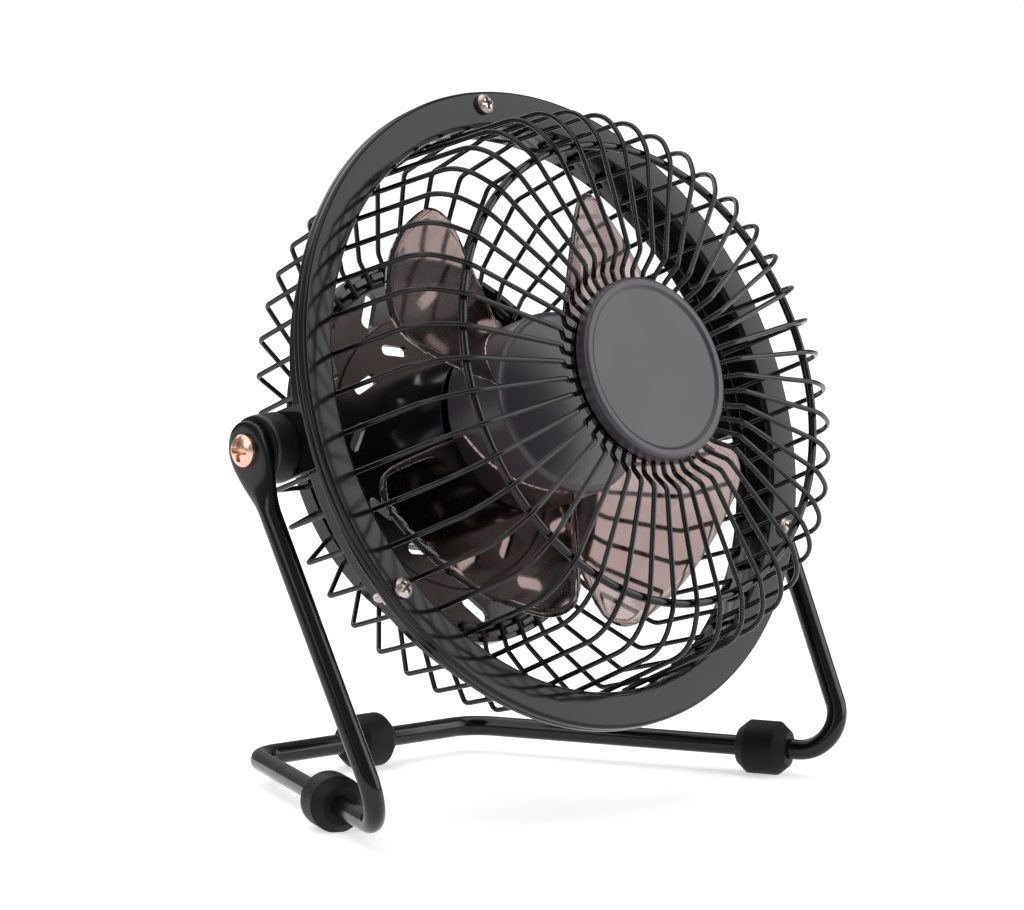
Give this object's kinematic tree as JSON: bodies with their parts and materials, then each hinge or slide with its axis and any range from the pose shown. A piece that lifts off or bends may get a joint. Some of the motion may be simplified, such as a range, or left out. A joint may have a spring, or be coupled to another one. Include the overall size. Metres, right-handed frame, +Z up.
{
  "type": "desk fan",
  "caption": "Small metal desk fan: wire cage with a solid front cap and smoky fan wheel, tilting on two screws in a bent-rod stand with rubber feet.",
  "frame": {"origin": "on the floor under the middle of the fan's box", "axes": "+Z up, the fan blows towards -Y, +X to the right as seen from the front"},
  "size_m": [0.1528, 0.1096, 0.1514],
  "materials": {
    "bare_steel": "bright steel",
    "black_insulation": "PVC insulation",
    "black_lacquer": "gloss black lacquer on steel",
    "black_plastic": "fine-textured moulded ABS",
    "black_rubber": "matt moulded rubber",
    "board_green": "solder mask on glass-epoxy board",
    "carbon": "carbon brush",
    "copper_wire": "enamelled copper wire",
    "ferrite": "sintered ferrite magnet",
    "gloss_black_plastic": "gloss moulded ABS",
    "nickel_plate": "nickel-plated steel",
    "red_insulation": "PVC insulation",
    "satin_black_paint": "satin black powder coat",
    "sintered_bronze": "oil-filled sintered bronze",
    "smoke_plastic": "smoke-tinted clear moulded plastic",
    "yellow_zinc": "yellow passivated zinc plate"
  },
  "bodies": {
    "stand": {"stand_rod": "black_lacquer", "foot_front_left": "black_rubber", "foot_front_right": "black_rubber", "foot_rear": "black_rubber"},
    "head": {"cap_screw": "nickel_plate", "circuit_board": "board_green", "flange_nuts": "nickel_plate", "flange_screws": "nickel_plate", "friction_washer_left": "black_rubber", "friction_washer_right": "black_rubber", "front_bush": "sintered_bronze", "front_cap": "satin_black_paint", "front_guard_wires": "black_lacquer", "front_hub_plate": "black_lacquer", "front_mid_ring": "black_lacquer", "front_ring": "satin_black_paint", "housing_screws": "nickel_plate", "inlet_core": "black_plastic", "inlet_shell": "nickel_plate", "lead_black": "black_insulation", "lead_link": "red_insulation", "lead_red": "red_insulation", "motor_brushes": "carbon", "motor_can": "bare_steel", "motor_end_cap": "black_plastic", "motor_housing": "gloss_black_plastic", "motor_magnets": "ferrite", "pivot_boss_left": "black_plastic", "pivot_boss_right": "black_plastic", "pivot_bracket_left": "black_lacquer", "pivot_bracket_right": "black_lacquer", "pivot_screw_left": "yellow_zinc", "pivot_screw_right": "yellow_zinc", "rear_bush": "sintered_bronze", "rear_cover": "gloss_black_plastic", "rear_guard_wires": "black_lacquer", "rear_hub_ring": "black_lacquer", "rear_ring": "black_lacquer", "switch_body": "black_plastic", "switch_housing": "black_plastic", "switch_terminals": "nickel_plate"},
    "wheel": {"fan_wheel": "smoke_plastic", "hub_insert": "bare_steel", "motor_shaft": "bare_steel", "armature_core": "bare_steel", "armature_windings": "copper_wire", "commutator": "copper_wire"},
    "rocker": {"switch_rocker": "gloss_black_plastic"}
  },
  "joints": [
    {"name": "head_tilt", "type": "hinge", "parent": "stand", "child": "head", "pos_m": [0, 0.0046, 0.0796], "axis": [1, 0, 0], "continuous": true},
    {"name": "wheel_spin", "type": "hinge", "parent": "head", "child": "wheel", "pos_m": [0, 0.0046, 0.0796], "axis": [0, -0.9391, 0.3437], "continuous": true},
    {"name": "switch_rock", "type": "hinge", "parent": "head", "child": "rocker", "pos_m": [0, 0.03728, 0.07403], "axis": [0, -0.3437, -0.9391], "range_deg": [0, 18]}
  ]
}
